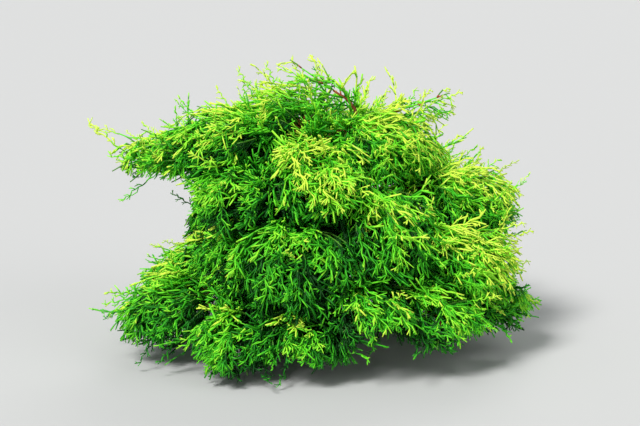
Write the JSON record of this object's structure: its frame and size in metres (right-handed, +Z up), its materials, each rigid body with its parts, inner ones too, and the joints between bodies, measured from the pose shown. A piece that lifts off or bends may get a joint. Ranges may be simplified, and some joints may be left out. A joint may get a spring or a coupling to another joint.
{
  "type": "dwarf golden thread-leaf cypress shrub",
  "caption": "Low, spreading dwarf golden cypress shrub with weeping, cord-like foliage in layered masses, carried by boughs from a short leaning trunk cut flat at the ground.",
  "frame": {"origin": "centre of the flat cut under the trunk, at ground level", "axes": "+Z up; -Y towards the side that the picture shows; +X to that side's right"},
  "size_m": [0.7165, 0.6088, 0.4631],
  "materials": {
    "bark": "matt, red-brown, finely fissured bark with long fibres",
    "foliage_golden": "soft satin, golden-lime scale leaves on thin cords",
    "foliage_green": "soft satin, bright green scale leaves on thin cords",
    "foliage_deep": "soft, deep green scale leaves on shaded cords"
  },
  "bodies": {
    "root": {"bough_crown_back": "bark", "bough_crown_front": "bark", "bough_crown_left": "bark", "bough_crown_right": "bark", "bough_drape_front": "bark", "bough_drape_right": "bark", "bough_middle_back": "bark", "bough_middle_front": "bark", "bough_middle_left": "bark", "bough_middle_low": "bark", "bough_shelf_back_left": "bark", "bough_shelf_back_right": "bark", "bough_shelf_left": "bark", "bough_shelf_left_front": "bark", "bough_shoulder_back": "bark", "bough_shoulder_front": "bark", "bough_shoulder_right": "bark", "bough_skirt_back": "bark", "bough_skirt_back_left": "bark", "bough_skirt_back_right": "bark", "bough_skirt_front": "bark", "bough_skirt_front_left": "bark", "bough_skirt_front_right": "bark", "bough_skirt_left": "bark", "bough_skirt_left_inner": "bark", "bough_skirt_right": "bark", "bough_skirt_right_front": "bark", "bough_wisp_right": "bark", "bough_wisp_top": "bark", "crown_back": "foliage_golden", "crown_front": "foliage_golden", "crown_left": "foliage_golden", "crown_right": "foliage_golden", "crown_top": "foliage_golden", "drape_front": "foliage_green", "drape_right": "foliage_green", "middle_back": "foliage_deep", "middle_front": "foliage_deep", "middle_left": "foliage_deep", "middle_low": "foliage_deep", "shelf_back_left": "foliage_golden", "shelf_back_right": "foliage_golden", "shelf_left": "foliage_golden", "shelf_left_front": "foliage_golden", "shoulder_back": "foliage_golden", "shoulder_front": "foliage_golden", "shoulder_right": "foliage_golden", "skirt_back": "foliage_green", "skirt_back_left": "foliage_green", "skirt_back_right": "foliage_green", "skirt_front": "foliage_green", "skirt_front_left": "foliage_green", "skirt_front_right": "foliage_green", "skirt_left": "foliage_green", "skirt_left_inner": "foliage_green", "skirt_right": "foliage_green", "skirt_right_front": "foliage_green", "trunk": "bark", "wisp_right": "foliage_golden", "wisp_top": "foliage_golden"}
  },
  "joints": []
}
